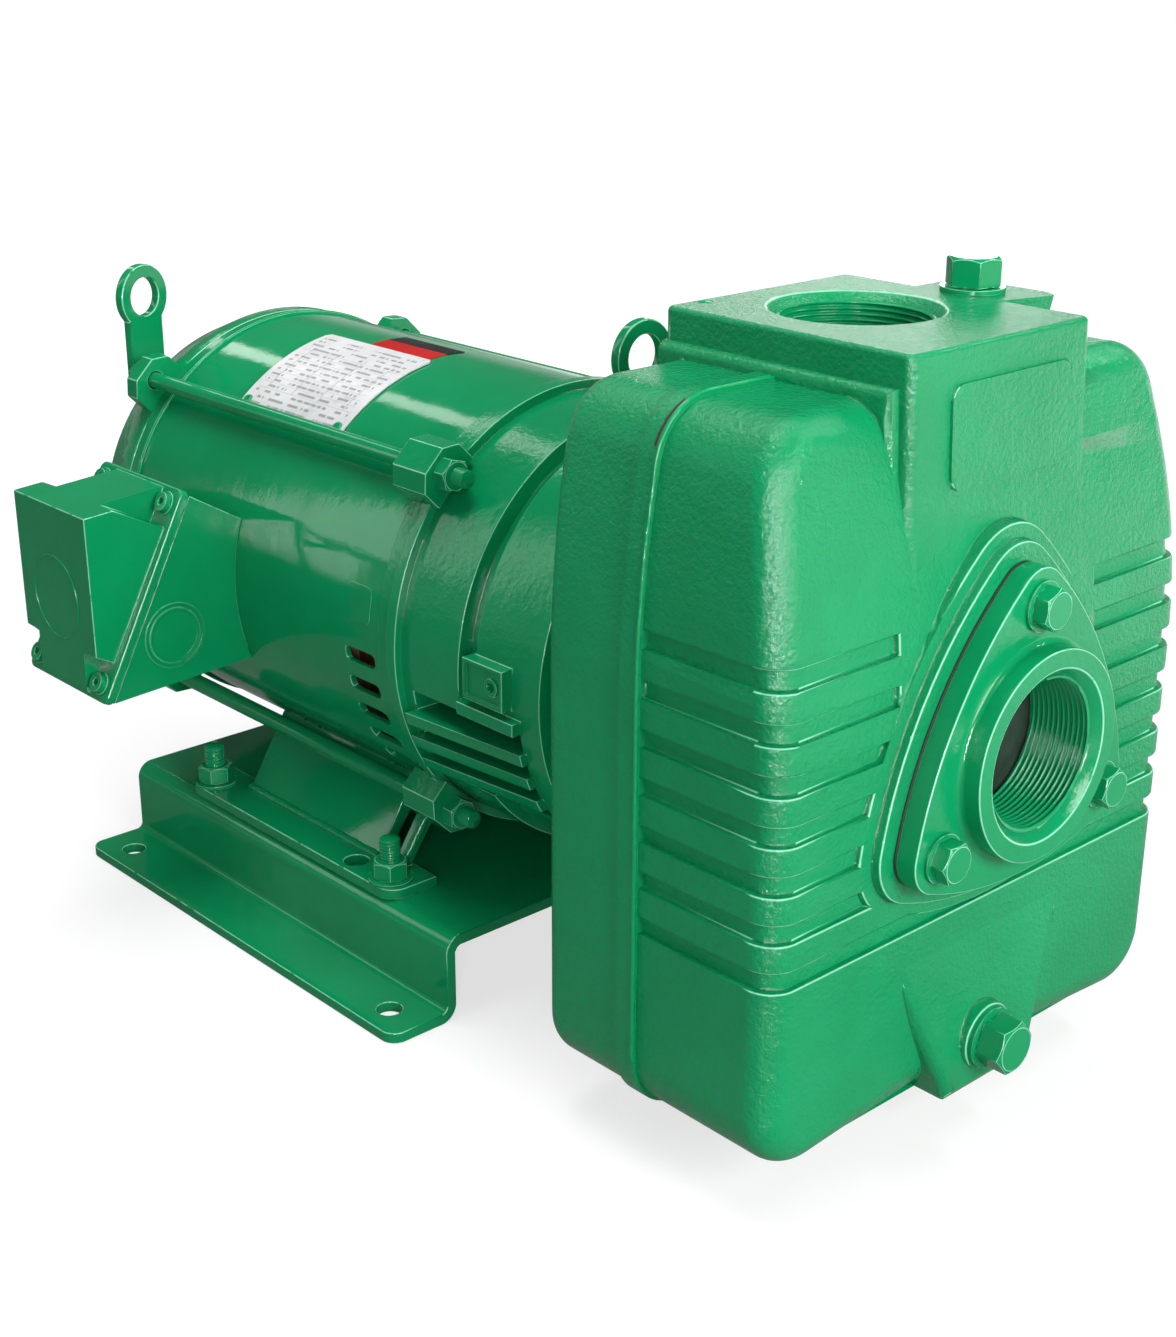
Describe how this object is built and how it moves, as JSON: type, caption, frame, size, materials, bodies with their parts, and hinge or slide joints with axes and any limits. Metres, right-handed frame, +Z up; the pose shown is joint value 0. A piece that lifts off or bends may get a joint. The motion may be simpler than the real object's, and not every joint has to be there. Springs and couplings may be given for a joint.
{
  "type": "self-priming pump",
  "caption": "Self-priming centrifugal pump close coupled to an electric motor on a channel base, with threaded suction and discharge ports.",
  "frame": {"origin": "centre of the four floor holes, on the underside of the channel base", "axes": "+X along the shaft towards the suction port, +Y away from the conduit box, +Z up"},
  "size_m": [0.512, 0.3076, 0.3223],
  "materials": {
    "cast_paint": "glossy green paint over cast iron, with orange peel",
    "sheet_paint": "smooth glossy green paint over sheet steel",
    "fastener_paint": "green paint over plated fasteners",
    "bright_steel": "machined steel",
    "core_steel": "stacked steel sheets",
    "copper": "varnished copper wire",
    "cast_aluminium": "die cast",
    "bare_iron": "bare cast iron",
    "plate_aluminium": "satin printed aluminium sheet",
    "ceramic": "lapped ceramic",
    "rubber": "moulded nitrile rubber"
  },
  "bodies": {
    "root": {"adapter_bolts": "fastener_paint", "base_channel": "sheet_paint", "bracket_plug": "fastener_paint", "casing_gasket": "rubber", "conduit_box": "sheet_paint", "conduit_cover": "sheet_paint", "conduit_gasket": "rubber", "conduit_knockout": "sheet_paint", "conduit_screws": "fastener_paint", "drain_washer": "fastener_paint", "flange_bolts": "fastener_paint", "flange_washers": "fastener_paint", "flap_pin": "bright_steel", "foot_nuts": "fastener_paint", "foot_studs": "fastener_paint", "foot_washers": "fastener_paint", "front_bearing_outer_race": "bright_steel", "front_bracket": "cast_paint", "front_lifting_eye": "sheet_paint", "motor_foot_far": "sheet_paint", "motor_foot_near": "sheet_paint", "motor_shell": "sheet_paint", "nameplate": "plate_aluminium", "priming_washer": "fastener_paint", "pump_adapter": "cast_paint", "pump_casing": "cast_paint", "rear_bearing_outer_race": "bright_steel", "rear_end_bell": "cast_paint", "rear_lifting_eye": "sheet_paint", "seal_seat": "ceramic", "stator_core": "core_steel", "stator_windings": "copper", "suction_flange": "cast_paint", "suction_gasket": "rubber", "through_bolt_nuts": "fastener_paint", "through_bolts": "fastener_paint"},
    "rotor": {"pump_shaft": "bright_steel", "rotor_core": "core_steel", "rotor_end_rings": "cast_aluminium", "cooling_fan": "cast_aluminium", "rear_bearing_inner_race": "bright_steel", "rear_bearing_balls": "bright_steel", "front_bearing_inner_race": "bright_steel", "front_bearing_balls": "bright_steel", "seal_head": "bright_steel", "seal_bellows": "rubber", "impeller": "bare_iron", "impeller_washer": "bright_steel", "impeller_bolt": "bright_steel"},
    "flap": {"suction_flap": "rubber", "flap_weight": "bright_steel"},
    "priming_plug": {"priming_plug": "fastener_paint"},
    "drain_plug": {"drain_plug": "fastener_paint"}
  },
  "joints": [
    {"name": "rotor_spin", "type": "hinge", "parent": "root", "child": "rotor", "pos_m": [0, 0, 0.1543], "axis": [1, 0, 0], "continuous": true},
    {"name": "flap_swing", "type": "hinge", "parent": "root", "child": "flap", "pos_m": [0.3055, 0, 0.1985], "axis": [0, 1, 0], "range_deg": [0, 45]},
    {"name": "priming_plug_lift", "type": "slide", "parent": "root", "child": "priming_plug", "axis": [0, 0, 1], "range_m": [0, 0.03]},
    {"name": "drain_plug_pull", "type": "slide", "parent": "root", "child": "drain_plug", "axis": [1, 0, 0], "range_m": [0, 0.03]}
  ]
}
